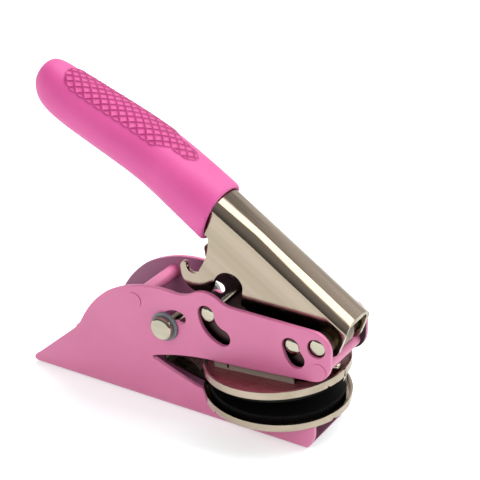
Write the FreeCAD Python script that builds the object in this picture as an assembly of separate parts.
import FreeCAD, Part

# Hand-held seal embosser. Millimetres. +X points to the open mouth at the front, +Z up, and the
# side plates face -Y and +Y. The origin is on the base plane, straight under the lower die.
# A lever, hinged in the frame, pushes a ram down onto the upper die holder. A hairpin strap joins
# that holder to the lower one. The model is in its open state, with the lever up.

import math
import os

# ---- driving dimensions: frame ----
frame_width = 26.0          # over the side plates
plate = 1.7                 # sheet thickness of the frame
fold_radius = 2.4           # outside, where the side plates fold into the floor
tail_x = -91.1              # back end of the base
toe_x = 17.0                # front end of the base
arm_top = 44.15             # flat top edge of the side plates
arm_under = 26.2            # lower edge of the upper arm, under the nose
nose_reach = 5.2            # front edge of the upper arm, ahead of the pivot
nose_under_radius = 7.2
nose_top_radius = 6.3
heel_reach = 3.5            # front edge of the lower arm, ahead of the toe
apex_x = -40.6              # inner end of the mouth
apex_z = 17.45
hump_rise = 3.0             # hump of the top edge, over the guide slot

# ---- driving dimensions: lever and its pins ----
pivot_x = 20.5
pivot_z = 38.35
pivot_r = 3.1               # pivot pin
drive_reach = 9.24          # pivot to drive pin
drive_angle = 193.1         # direction of the drive pin from the pivot, degrees
drive_r = 2.8               # drive pin
pin_recess = 0.5            # pin ends, below the outer face of the side plates
lever_travel = 25.0         # degrees, from open to pressed
lever_width = 16.0          # over the cheeks
lever_sheet = 1.5
lever_shoulder = 3.6        # outside radius of the folded shoulders
lever_slope = 32.55         # degrees, the lever's top rises to the back
lever_front = (8.0, 7.6)    # front corner of the lever's top, from the pivot
front_ear_r = 5.9           # lever's ear round the pivot
drive_ear_r = 4.3           # lever's ear round the drive pin
notch_top = 15.0            # top of the arch notch, above the pivot
hook_reach = 50.0           # pivot to the middle of the hook's mouth
hook_angle = 163.5          # its direction from the pivot, degrees
hook_mouth_r = 2.55
neck_depth = 11.6           # depth of the tang where it enters the grip

# ---- driving dimensions: grip, along the lever's top from its front corner ----
grip_start = 57.5
grip_slant = 14.0           # degrees, the grip's mouth leans forward at the bottom
tang_bend_s = 78.0          # where the tang bends down
tang_end = 104.0
tang_bend = 14.0            # degrees
# station, depth of its middle, half height, half width
grip_stations = [
    (48.0, 6.85, 9.6, 10.5), (66.0, 6.67, 9.3, 10.5), (80.0, 6.88, 8.65, 10.5),
    (96.0, 9.25, 8.6, 10.2), (112.0, 12.4, 8.45, 9.3), (120.0, 13.65, 8.1, 8.5),
    (126.0, 13.7, 7.4, 7.2), (130.0, 12.9, 5.5, 5.4), (132.4, 12.4, 2.6, 2.4)]

# ---- driving dimensions: ram and guide pin ----
ram_width = 20.2
ram_sheet = 1.5
ram_back = -17.2
ram_front = 15.0
ram_low_back = 21.85        # lower face of the ram, at its back and at its front
ram_low_front = 22.65
ram_heel = (-23.3, 29.5)    # lower end of the ram's upright back edge
ram_ear_r = 4.3             # ram's ear round the drive pin
guide_x = -19.6
guide_z = 38.95
guide_r = 2.6               # ends of the guide pin, in the side plates
guide_rod_r = 1.15          # rod of the guide pin, between the ram's cheeks
guide_slot_reach = 7.8      # radius of the guide slot's centre line
guide_slot_from = 187.4     # direction of the guide pin from the slot's centre, degrees
guide_slot_sweep = 70.0     # degrees
guide_slot_gap = 0.4

# ---- driving dimensions: dies, holders and strap ----
holder_r = 24.5
holder_sheet = 0.7
rim_wall = 0.9
lower_rim = 2.83            # height of the lower holder
upper_rim = 3.0
die_gap = 1.2               # between the dies and the holders' rims
die_shoulder = 0.8          # step in the dies' radius
seat_z = 9.62               # top of the lower arms, where the lower holder rests
contact_z = 14.6            # plane where the dies meet
paper = 0.15                # left between the dies when the lever is pressed
upper_die_thick = 2.3
open_angle = 4.92           # tilt of the upper holder when open, degrees
hinge_x = -38.0             # middle of the strap's bend
hinge_z = 15.25
strap_width = 15.0
strap_sheet = 0.7
bend_r = 1.9                # outside radius of the strap's bend
strap_hold = 10.0           # length of each leaf that lies against its holder
strap_rivet_r = 0.9
rail_back = -17.4           # upright rails on the upper holder, beside the ram
rail_front = 12.3
rail_height = 3.2
rail_sheet = 0.6
notch_x = -12.6             # saw cut in each rail
notch_wide = 0.8
stud_inset = 3.6            # locating stud, from the holder's edge to its middle
stud_r = 2.2
stud_height = 4.2
lance_long = 4.6            # lanced slots in the upper holder's floor
lance_wide = 0.8
lance_places = [(-113, 2.7), (-45, 4.3), (45, 4.3), (113, 2.7)]    # degrees, from the edge

# ---- driving dimensions: spacers, spring and lock ----
rear_spacer = (-47.5, 36.85)
rear_spacer_r = 2.4
front_spacer = (21.5, 30.6)
front_spacer_r = 2.3
spacer_neck = 1.0           # less than the spacer's radius
rivet_r = 2.75              # painted rivet heads of the spacers
rivet_proud = 0.3
sleeve_wall = 0.6           # sleeve on the pivot pin, under the return spring
bush_wall = 0.9
spring_wire_r = 0.55
spring_turns = 6
spring_gap = 0.15           # between the coil and its sleeve
spring_long = 7.0
lock_open = (-35.3, 30.75)  # lock pin, open
lock_mid = (-34.0, 34.25)   # a point on the way along its slot
lock_shut_turn = 20.3       # lever's angle when the hook meets the lock pin, degrees
lock_shaft_r = 1.65
lock_head_r = 4.1
lock_head_thick = 2.3
lock_washer_r = 5.0
lock_washer_thick = 0.9

# ---- clearances ----
slot_gap = 0.3              # pins in slots
run_gap = 0.05              # running fits
move_gap = 0.3              # between pieces of different bodies

# ---- derived places ----
half = frame_width / 2
inner = half - plate
pin_end = half - pin_recess
lever_half = lever_width / 2
lever_inner = lever_half - lever_sheet
ram_half = ram_width / 2
ram_inner = ram_half - ram_sheet
nose_x = pivot_x + nose_reach
heel_x = toe_x + heel_reach
die_r = holder_r - rim_wall - die_gap
stud_x = holder_r - stud_inset
pivot = (pivot_x, pivot_z)
guide = (guide_x, guide_z)


def polar(centre, r, degrees):
    """Point at a distance and direction from a centre, in the XZ plane."""
    a = math.radians(degrees)
    return (centre[0] + r * math.cos(a), centre[1] + r * math.sin(a))


def rel(x, z):
    """Point of the lever, from its pivot."""
    return (pivot_x + x, pivot_z + z)


drive = polar(pivot, drive_reach, drive_angle)
hook = polar(pivot, hook_reach, hook_angle)
lock_shut = polar(pivot, hook_reach, hook_angle + lock_shut_turn)
holder_floor = contact_z + paper + upper_die_thick      # upper holder's lower face, closed


# ---- shapes that repeat ----

def point(xz):
    return FreeCAD.Vector(xz[0], 0, xz[1])


def outline(start, steps):
    """Closed face in the XZ plane. A step is one point (line) or two (arc through the first)."""
    edges = []
    here = start
    for step in steps:
        if len(step) == 1:
            edges.append(Part.makeLine(point(here), point(step[0])))
        else:
            edges.append(Part.Arc(point(here), point(step[0]), point(step[1])).toShape())
        here = step[-1]
    if point(here).distanceToPoint(point(start)) > 1e-6:
        edges.append(Part.makeLine(point(here), point(start)))
    return Part.Face(Part.Wire(edges))


def across(face, y0, y1):
    """Extrude a face of the XZ plane from y0 to y1."""
    solid = face.extrude(FreeCAD.Vector(0, y1 - y0, 0))
    solid.translate(FreeCAD.Vector(0, y0, 0))
    return solid


def rod(xz, r, y0, y1):
    """Cylinder along Y."""
    return Part.makeCylinder(r, y1 - y0, FreeCAD.Vector(xz[0], y0, xz[1]), FreeCAD.Vector(0, 1, 0))


def tube(xz, r0, r1, y0, y1):
    return rod(xz, r1, y0, y1).cut(rod(xz, r0, y0 - 1, y1 + 1))


def post(x, y, r, z0, z1):
    """Upright cylinder."""
    return Part.makeCylinder(r, z1 - z0, FreeCAD.Vector(x, y, z0))


def block(x0, x1, y0, y1, z0, z1):
    return Part.makeBox(x1 - x0, y1 - y0, z1 - z0, FreeCAD.Vector(x0, y0, z0))


def arc_slot(centre, reach, a0, a1, half_width, y0, y1):
    """Curved slot: its centre line is an arc from a0 to a1 degrees, its ends are round."""
    mid = (a0 + a1) / 2
    out = reach + half_width
    back = reach - half_width
    tip1 = polar(polar(centre, reach, a1), half_width, a1 + 90)
    tip0 = polar(polar(centre, reach, a0), half_width, a0 - 90)
    face = outline(polar(centre, out, a0), [
        (polar(centre, out, mid), polar(centre, out, a1)),
        (tip1, polar(centre, back, a1)),
        (polar(centre, back, mid), polar(centre, back, a0)),
        (tip0, polar(centre, out, a0))])
    return across(face, y0, y1)


def circle_of(p, q, s):
    """Centre, radius and directions of the circle through three points of the XZ plane."""
    c = Part.Arc(point(p), point(q), point(s)).toShape().Curve.Center
    angles = [math.degrees(math.atan2(k[1] - c.z, k[0] - c.x)) % 360 for k in (p, q, s)]
    return (c.x, c.z), point(p).distanceToPoint(c), angles


def both_sides(shape):
    """The shape and its mirror image across the mid-plane."""
    return Part.makeCompound([shape, shape.mirror(FreeCAD.Vector(), FreeCAD.Vector(0, 1, 0))])


def opened(shape):
    """Turn a piece of the upper holder from its closed place to its open one."""
    turned = shape.copy()
    turned.rotate(FreeCAD.Vector(hinge_x, 0, hinge_z), FreeCAD.Vector(0, -1, 0), open_angle)
    return turned


def long_edges(shape, y, shortest, wanted):
    """Edges of the side planes at -y and +y that are long enough and wanted."""
    found = []
    for edge in shape.Edges:
        middle = edge.CenterOfMass
        if abs(abs(middle.y) - y) < 0.01 and edge.BoundBox.YLength < 0.01:
            if edge.Length > shortest and wanted(middle):
                found.append(edge)
    return found


lock_centre, lock_reach, lock_angles = circle_of(lock_open, lock_mid, lock_shut)


# ---- frame ----

def frame_outline():
    """Side plate: base, open mouth for the dies, nose, hump and sloping tail."""
    top_turn = arm_top - nose_top_radius
    under_turn = arm_under + nose_under_radius
    under_x = nose_x - nose_under_radius
    top_x = nose_x - nose_top_radius
    k = math.sqrt(0.5)
    rest_x = -math.sqrt(holder_r ** 2 - half ** 2)      # where the holder's edge leaves the plate
    return outline((tail_x + 1.8, 0), [
        ((toe_x, 0),),
        ((toe_x + heel_reach * 0.8, 3.6), (heel_x, 8.0)),
        ((heel_x, seat_z),),
        ((rest_x, seat_z),),
        ((rest_x - 0.4, seat_z + 1.3),),
        ((rest_x - 4.0, seat_z + 2.0),),
        ((-34.0, seat_z + 5.0), (apex_x + 0.6, apex_z - 0.6)),
        ((apex_x, apex_z), (apex_x + 0.6, apex_z + 0.6)),
        ((-27.0, arm_under - 4.6), (-14.0, arm_under - 3.2)),
        ((2.5, arm_under - 1.7), (under_x, arm_under)),
        ((under_x + nose_under_radius * k, under_turn - nose_under_radius * k),
         (nose_x, under_turn)),
        ((nose_x, top_turn),),
        ((top_x + nose_top_radius * k, top_turn + nose_top_radius * k), (top_x, arm_top)),
        ((guide_x + 10.0, arm_top),),
        ((guide_x + 7.1, arm_top + 0.35), (guide_x + 4.7, arm_top + 1.4)),
        ((guide_x - 0.5, arm_top + hump_rise), (guide_x - 5.5, arm_top + 1.2)),
        ((guide_x - 8.1, arm_top), (guide_x - 12.0, arm_top - 0.5)),
        ((-46.6, arm_top - 1.6), (-59.2, arm_top - 7.4)),
        ((-65.3, arm_top - 13.6), (-69.4, arm_top - 20.0)),
        ((-71.4, arm_top - 23.3), (-73.6, arm_top - 25.8)),
        ((tail_x + 1.3, 3.9),),
        ((tail_x, 1.4), (tail_x + 1.8, 0))])


def folded_sheet():
    """U section of the frame, longer and higher than its side plates."""
    high = arm_top + hump_rise + 5
    x0 = tail_x - 5
    length = nose_x + 5 - x0
    outer = Part.makeBox(length, frame_width, high, FreeCAD.Vector(x0, -half, 0))
    low = [e for e in outer.Edges if e.BoundBox.ZMax < 0.01 and e.BoundBox.XLength > 1]
    outer = outer.makeFillet(fold_radius, low)
    hollow = Part.makeBox(length + 2, 2 * inner, high, FreeCAD.Vector(x0 - 1, -inner, plate))
    low = [e for e in hollow.Edges if e.BoundBox.ZMax < plate + 0.01 and e.BoundBox.XLength > 1]
    return outer.cut(hollow.makeFillet(fold_radius - plate, low))


def frame():
    body = folded_sheet().common(across(frame_outline(), -half, half))
    y = half + 1
    slack = 1.5                 # degrees, at both ends of the pins' slots
    lock_ends = (lock_angles[2], lock_angles[0])
    cuts = [
        rod(pivot, pivot_r + run_gap, -y, y),
        arc_slot(pivot, drive_reach, drive_angle - slack, drive_angle + lever_travel + slack,
                 drive_r + slot_gap, -y, y),
        arc_slot(polar(guide, -guide_slot_reach, guide_slot_from), guide_slot_reach,
                 guide_slot_from - 2 * slack, guide_slot_from + guide_slot_sweep,
                 guide_r + guide_slot_gap, -y, y),
        arc_slot(lock_centre, lock_reach, min(lock_ends), max(lock_ends),
                 lock_shaft_r + slot_gap, -y, y),
        rod(rear_spacer, rear_spacer_r - spacer_neck, -y, y),
        rod(front_spacer, front_spacer_r - spacer_neck, -y, y),
        post(0, 0, holder_r + run_gap, seat_z, seat_z + lower_rim + 1)]
    for cut in cuts:
        body = body.cut(cut)
    return body


def spacer(xz, r):
    """Rod between the side plates. Its necks pass through them and end in flat rivet heads."""
    body = rod(xz, r, -inner, inner).fuse(rod(xz, r - spacer_neck, -half, half))
    for side in (-half - rivet_proud, half):
        body = body.fuse(rod(xz, rivet_r, side, side + rivet_proud))
    return body.removeSplitter()


def bevelled(solid, size):
    """Bevel the two end circles of a rod along Y."""
    box = solid.BoundBox
    ends = [e for e in solid.Edges if e.BoundBox.YLength < 0.01
            and min(abs(e.CenterOfMass.y - box.YMin), abs(e.CenterOfMass.y - box.YMax)) < 0.01]
    return solid.makeChamfer(size, ends)


# ---- lever ----

along = (-math.cos(math.radians(lever_slope)), math.sin(math.radians(lever_slope)))


def lever_point(s, d):
    """Point s along the lever's top from its front corner, and d below that line."""
    x, z = rel(*lever_front)
    return (x + along[0] * s - along[1] * d, z + along[1] * s + along[0] * d)


def tang_point(s, d):
    """The same past the tang's bend, where the line turns down."""
    a = math.radians(lever_slope - tang_bend)
    x, z = lever_point(tang_bend_s, 0)
    t = s - tang_bend_s
    return (x - math.cos(a) * t - math.sin(a) * d, z + math.sin(a) * t - math.cos(a) * d)


def lever_outline():
    """Side view of the lever: ears, arch notch, hook, neck and tang."""
    return outline(lever_point(0, 0), [
        (rel(7.3, 3.3), polar(pivot, front_ear_r, -12)),
        (polar(pivot, front_ear_r, -30), polar(pivot, front_ear_r - 0.3, -48)),
        (polar(pivot, front_ear_r - 1.0, -75), polar(pivot, front_ear_r - 1.4, -108)),
        (polar(drive, drive_ear_r, 268),),
        (polar(drive, drive_ear_r, 246), polar(drive, drive_ear_r, 224)),
        (rel(-22.3, 0.6),),
        (rel(-30.0, notch_top - 10),),
        (rel(-29.4, notch_top - 3.9),),
        (rel(-30.6, notch_top - 1.4), rel(-33.8, notch_top)),
        (rel(-37.7, notch_top - 1.0), rel(-39.8, notch_top - 4.1)),
        (rel(-41.5, notch_top - 10.4),),
        (rel(-45.5, notch_top - 9.9),),
        (polar(hook, hook_mouth_r + 4.6, 245), polar(hook, hook_mouth_r + 2.6, 205)),
        (polar(hook, hook_mouth_r + 2.1, 183), polar(hook, hook_mouth_r + 1.0, 165)),
        (polar(hook, hook_mouth_r + 0.5, 163), polar(hook, hook_mouth_r, 178)),
        (polar(hook, hook_mouth_r, 265), polar(hook, hook_mouth_r, 350)),
        (polar(hook, 6.5, 42), polar(hook, 12.6, 62)),
        (lever_point(grip_start - 5.0, neck_depth),),
        (lever_point(tang_bend_s, neck_depth - 0.6),),
        (tang_point(tang_end, neck_depth - 2.6),),
        (tang_point(tang_end, 0),),
        (lever_point(tang_bend_s, 0),)])


def lever_hollow():
    """Space inside the lever's channel, open at the front, below and behind."""
    t = lever_sheet
    deep = 70
    return outline(lever_point(-20, t), [
        (lever_point(-20, deep),),
        (lever_point(40, deep),),
        (tang_point(tang_end + 10, deep),),
        (tang_point(tang_end + 10, t),),
        (lever_point(tang_bend_s, t),)])


def near_top(middle):
    """True for the middle of an edge that lies along the lever's top or its tang's."""
    x, z = rel(*lever_front)
    depth = -(middle.x - x) * along[1] + (middle.z - z) * along[0]
    return depth < 8


def shouldered(face, width, radius):
    """Extrude a side view over the width and round the long edges of its top."""
    body = across(face, -width, width)
    return body.makeFillet(radius, long_edges(body, width, 30, near_top))


def lever_blank():
    return shouldered(lever_outline(), lever_half, lever_shoulder)


def lever():
    hollow = shouldered(lever_hollow(), lever_inner, lever_shoulder - lever_sheet)
    body = lever_blank().cut(hollow)
    y = lever_half + 1
    body = body.cut(rod(pivot, pivot_r + run_gap, -y, y))
    return body.cut(rod(drive, drive_r, -y, y))


def grip_section(station):
    """Rounded section of the grip, square to the straight part of the lever."""
    s, depth, high, wide = station
    fullness = 2.5              # 2 is an ellipse
    count = 16
    points = []
    for i in range(count):
        a = 2 * math.pi * i / count
        c, n = math.cos(a), math.sin(a)
        y = wide * math.copysign(abs(c) ** (2 / fullness), c)
        d = depth - high * math.copysign(abs(n) ** (2 / fullness), n)
        x, z = lever_point(s, d)
        points.append(FreeCAD.Vector(x, y, z))
    curve = Part.BSplineCurve()
    curve.interpolate(Points=points, PeriodicFlag=True)
    return Part.Wire(curve.toShape())


def grip():
    """Rubber sleeve over the tang, with a mouth that leans forward at the bottom."""
    body = Part.makeLoft([grip_section(s) for s in grip_stations], True)
    top = lever_point(grip_start, -5)
    slant = math.tan(math.radians(grip_slant))
    low = lever_point(grip_start - 30 * slant, 25)
    ahead = outline(top, [(low,), (lever_point(20, 25),), (lever_point(20, -5),)])
    body = body.cut(across(ahead, -30, 30))
    return body.cut(lever_blank())


def tangent_from(centre, r, target, side):
    """Direction from a circle's centre to where a line from the target touches the circle."""
    x, z = target[0] - centre[0], target[1] - centre[1]
    reach = math.hypot(x, z)
    return math.degrees(math.atan2(z, x) + side * math.acos(r / reach))


def return_spring():
    """Torsion spring round the pivot. One leg bears on the lever, one on the front spacer."""
    wire = spring_wire_r
    r = pivot_r + run_gap + sleeve_wall + spring_gap + wire
    upper_end = lever_point(22, lever_sheet + wire + run_gap)
    lower_end = (front_spacer[0] - front_spacer_r - wire - run_gap, front_spacer[1] - 2.0)
    start = tangent_from(pivot, r, upper_end, 1)
    finish = tangent_from(pivot, r, lower_end, -1)
    turns = spring_turns + (finish - start) % 360 / 360 - 1
    pitch = spring_long / turns
    helix = Part.makeHelix(pitch, spring_long, r)
    helix.rotate(FreeCAD.Vector(), FreeCAD.Vector(1, 0, 0), 90)
    helix.rotate(FreeCAD.Vector(), FreeCAD.Vector(0, -1, 0), start)
    helix.translate(FreeCAD.Vector(pivot_x, spring_long / 2, pivot_z))
    lean = pitch / (2 * math.pi * r)
    ends = []
    for turn, target, side in ((start, upper_end, 1), (finish, lower_end, -1)):
        touch = polar(pivot, r, turn)
        long = math.dist(touch, target)
        y = side * spring_long / 2
        ends.append((FreeCAD.Vector(touch[0], y, touch[1]),
                     FreeCAD.Vector(target[0], y + side * lean * long, target[1])))
    path = Part.Wire([Part.makeLine(ends[0][1], ends[0][0])] + helix.Edges
                     + [Part.makeLine(ends[1][0], ends[1][1])])
    ring = Part.Wire(Part.makeCircle(wire, ends[0][1], ends[0][0] - ends[0][1]))
    return path.makePipeShell([ring], True, False)


def pivot_bushes():
    """Rings on the pivot pin that keep the lever in the middle of the frame."""
    r = pivot_r + run_gap
    return both_sides(tube(pivot, r, r + bush_wall, lever_half, inner - run_gap))


# ---- ram ----

def ram_z(x, above):
    """Height of a line above the ram's lower face."""
    rise = (ram_low_front - ram_low_back) / (ram_front - ram_back)
    return ram_low_back + (x - ram_back) * rise + above


def ram_outline():
    """Side view of the ram: a foot over the dies and an ear at each pin."""
    return outline((ram_back, ram_low_back), [
        ((ram_front, ram_low_front),),
        ((ram_front + 0.4, ram_low_front + 4.0),),
        (polar(drive, ram_ear_r, 0),),
        (polar(drive, ram_ear_r, 45), polar(drive, ram_ear_r, 90)),
        (polar(guide, guide_r + 1.1, 90),),
        (polar(guide, guide_r + 1.1, 135), polar(guide, guide_r + 1.1, 180)),
        (ram_heel,)])


def ram_hollow():
    """Space between the ram's cheeks, above its foot."""
    x0, x1 = ram_back - 20, ram_front + 20
    return outline((x0, ram_z(x0, ram_sheet)), [
        ((x1, ram_z(x1, ram_sheet)),),
        ((x1, arm_top + 20),),
        ((x0, arm_top + 20),)])


def ram():
    body = across(ram_outline(), -ram_half, ram_half)
    low = long_edges(body, ram_half, 20, lambda m: m.z < ram_z(m.x, 0.1))
    body = body.makeFillet(ram_sheet, low)
    body = body.cut(across(ram_hollow(), -ram_inner, ram_inner))
    y = ram_half + 1
    body = body.cut(rod(guide, guide_rod_r, -y, y))
    return body.cut(rod(drive, drive_r + run_gap + bush_wall, -y, y))


def drive_bushes():
    """Bushes in the ram's cheeks, which turn on the drive pin."""
    r = drive_r + run_gap
    return both_sides(tube(drive, r, r + bush_wall, lever_half + move_gap, ram_half + 0.3))


def guide_pin():
    """Rod across the ram, with thick ends that run in the guide slots."""
    body = rod(guide, guide_rod_r, -ram_half - 0.5, ram_half + 0.5)
    for side in (-pin_end, ram_half):
        body = body.fuse(bevelled(rod(guide, guide_r, side, side + pin_end - ram_half), 0.3))
    return body.removeSplitter()


# ---- dies and their holders ----

def holder(z0, rim):
    """Shallow pressed dish, its rim turned up."""
    body = post(0, 0, holder_r, z0, z0 + rim)
    low = [e for e in body.Edges if e.BoundBox.ZMax < z0 + 0.01]
    body = body.makeFillet(holder_sheet, low)
    return body.cut(post(0, 0, holder_r - rim_wall, z0 + holder_sheet, z0 + rim + 1))


def strap_slot(z0, z1):
    """Space for a leaf of the strap and its rivets."""
    y = strap_width / 2 + move_gap
    return block(-holder_r - 5, -holder_r + strap_hold + 2, -y, y, z0, z1)


def lower_holder():
    body = holder(seat_z, lower_rim)
    z = seat_z + holder_sheet
    body = body.cut(strap_slot(z, z + 10))
    for y in rivet_rows():
        body = body.cut(post(rivet_x(), y, strap_rivet_r, seat_z - 1, z + 1))
    return body


def upper_holder():
    body = holder(holder_floor, upper_rim)
    for angle, inset in lance_places:
        r = holder_r - inset
        lance = block(r - lance_wide / 2, r + lance_wide / 2, -lance_long / 2, lance_long / 2,
                      holder_floor - 1, holder_floor + holder_sheet + 1)
        lance.rotate(FreeCAD.Vector(), FreeCAD.Vector(0, 0, 1), angle)
        body = body.cut(lance)
    for y in rivet_rows():
        body = body.cut(post(rivet_x(), y, strap_rivet_r, holder_floor - 1, holder_floor + 5))
    return opened(body.cut(post(stud_x, 0, stud_r * 0.6, holder_floor - 1, holder_floor + 5)))


def lower_die():
    z0 = seat_z + holder_sheet
    body = post(0, 0, die_r, z0, contact_z - 1.2).fuse(
        post(0, 0, die_r - die_shoulder, z0, contact_z))
    return body.removeSplitter().cut(strap_slot(z0 - 1, z0 + strap_sheet + 1.0))


def upper_die():
    z0 = contact_z + paper
    body = post(0, 0, die_r, z0 + 0.9, holder_floor).fuse(
        post(0, 0, die_r - die_shoulder, z0, holder_floor))
    body = body.removeSplitter().cut(strap_slot(holder_floor - strap_sheet - 0.7,
                                                holder_floor + 1))
    return opened(body.cut(post(stud_x, 0, stud_r, holder_floor - 0.7, holder_floor + 1)))


def rivet_x():
    return -holder_r + strap_hold - 4.0


def rivet_rows():
    return (-strap_width / 4, strap_width / 4)


def leaf(z_far, z_near):
    """Strap leaf: lower faces z_far at the bend and z_near along the holder."""
    x1 = -holder_r + 1.0
    x2 = -holder_r + strap_hold
    t = strap_sheet
    face = outline((hinge_x, z_far), [
        ((x1, z_near),),
        ((x2, z_near),),
        ((x2, z_near + t),),
        ((x1, z_near + t),),
        ((hinge_x, z_far + t),)])
    return across(face, -strap_width / 2, strap_width / 2)


def lower_strap():
    """Lower leaf of the hairpin with the bend."""
    centre = (hinge_x, hinge_z)
    y = strap_width / 2
    bend = tube(centre, bend_r - strap_sheet, bend_r, -y, y)
    bend = bend.cut(block(hinge_x, hinge_x + 5, -y - 1, y + 1, hinge_z - 5, hinge_z + 5))
    flat = leaf(hinge_z - bend_r, seat_z + holder_sheet)
    body = bend.fuse(flat).removeSplitter()
    for row in rivet_rows():
        body = body.cut(post(rivet_x(), row, strap_rivet_r, seat_z, seat_z + 10))
    return body


def flare():
    """Shoulders of the upper leaf, which widen to the holder's rim."""
    y = strap_width / 2
    edge = -holder_r
    ends = [(edge - 7.0, y), (edge - 1.7, y + 2.1), (edge + 3.5, y + 6.7)]
    corners = [FreeCAD.Vector(x, w, holder_floor - strap_sheet) for x, w in ends]
    lower = [FreeCAD.Vector(c.x, -c.y, c.z) for c in corners]
    face = Part.Face(Part.Wire([
        Part.Arc(*corners).toShape(),
        Part.makeLine(corners[2], lower[2]),
        Part.Arc(lower[2], lower[1], lower[0]).toShape(),
        Part.makeLine(lower[0], corners[0])]))
    sheet = face.extrude(FreeCAD.Vector(0, 0, strap_sheet))
    return sheet.cut(post(0, 0, die_r + move_gap, 0, 100))


def upper_strap():
    """Upper leaf of the hairpin. It starts a hair's breadth ahead of the bend."""
    flat = leaf(hinge_z + bend_r - strap_sheet, holder_floor - strap_sheet)
    x = hinge_x + move_gap + bend_r * math.sin(math.radians(open_angle))
    flat = flat.cut(block(hinge_x - 5, x, -strap_width, strap_width, 0, 100))
    flat = flat.fuse(flare()).removeSplitter()
    for row in rivet_rows():
        flat = flat.cut(post(rivet_x(), row, strap_rivet_r, 0, 100))
    return opened(flat)


def strap_rivets(z_under, z_over, head_under, head_over):
    """Two rivets through a leaf and its holder."""
    rivets = []
    for row in rivet_rows():
        body = post(rivet_x(), row, strap_rivet_r, z_under - head_under, z_over + head_over)
        if head_under > 0:
            body = body.fuse(post(rivet_x(), row, strap_rivet_r * 1.8,
                                  z_under - head_under, z_under))
        body = body.fuse(post(rivet_x(), row, strap_rivet_r * 1.8, z_over, z_over + head_over))
        rivets.append(body.removeSplitter())
    return Part.makeCompound(rivets)


def rails():
    """Two upright strips on the upper holder, which keep it in line with the ram."""
    z = holder_floor + holder_sheet
    y = inner - move_gap
    rail = block(rail_back, rail_front, y - rail_sheet, y, z, z + rail_height)
    front = [e for e in rail.Edges if e.BoundBox.YLength > 0.1
             and e.BoundBox.ZMin > z + 1 and abs(e.CenterOfMass.x - rail_front) < 0.01]
    rail = rail.makeFillet(rail_height * 0.6, front)
    rail = rail.cut(block(notch_x, notch_x + notch_wide, 0, half, z + 0.5, z + 20))
    return opened(both_sides(rail))


def locating_stud():
    z = holder_floor + holder_sheet
    body = post(stud_x, 0, stud_r, z, z + stud_height)
    top = [e for e in body.Edges if e.BoundBox.ZMin > z + stud_height - 0.01]
    body = body.makeFillet(stud_r * 0.4, top)
    return opened(body.fuse(post(stud_x, 0, stud_r * 0.6, holder_floor, z)).removeSplitter())


# ---- lock ----

def lock_shaft():
    y = half + lock_washer_thick + 2 * run_gap + lock_head_thick / 2
    return rod(lock_open, lock_shaft_r, -y, y)


def lock_washers():
    y = half + run_gap
    return both_sides(tube(lock_open, lock_shaft_r, lock_washer_r, y, y + lock_washer_thick))


def lock_heads():
    """Mushroom heads pressed on the ends of the shaft."""
    y = half + lock_washer_thick + 2 * run_gap
    head = rod(lock_open, lock_head_r, y, y + lock_head_thick)
    edge = [e for e in head.Edges if e.BoundBox.YMin > y + lock_head_thick - 0.01]
    head = head.makeFillet(lock_head_thick * 0.45, edge)
    return both_sides(head.cut(rod(lock_open, lock_shaft_r, y - 1, y + lock_head_thick / 2)))


def save(name, shape):
    shape.exportStep("parts/" + name + ".step")


os.makedirs("parts", exist_ok=True)
save("frame", frame())
save("rear_spacer", spacer(rear_spacer, rear_spacer_r))
save("front_spacer", spacer(front_spacer, front_spacer_r))
save("pivot_pin", bevelled(rod(pivot, pivot_r, -pin_end, pin_end), 0.4))
save("lever", lever())
save("grip", grip())
save("drive_pin", bevelled(rod(drive, drive_r, -pin_end, pin_end), 0.4))
save("pivot_bushes", pivot_bushes())
save("spring_sleeve", tube(pivot, pivot_r + run_gap, pivot_r + run_gap + sleeve_wall,
                           -lever_inner, lever_inner))
save("return_spring", return_spring())
save("ram", ram())
save("drive_bushes", drive_bushes())
save("guide_pin", guide_pin())
save("lower_holder", lower_holder())
save("lower_die", lower_die())
save("lower_strap", lower_strap())
lower_leaf_top = seat_z + holder_sheet + strap_sheet
save("lower_strap_rivets", strap_rivets(seat_z, lower_leaf_top, 0, 0.5))
save("upper_holder", upper_holder())
save("upper_die", upper_die())
save("upper_strap", upper_strap())
save("upper_strap_rivets", opened(strap_rivets(holder_floor - strap_sheet,
                                               holder_floor + holder_sheet, 0.5, 0.5)))
save("rails", rails())
save("locating_stud", locating_stud())
save("lock_shaft", lock_shaft())
save("lock_washers", lock_washers())
save("lock_heads", lock_heads())
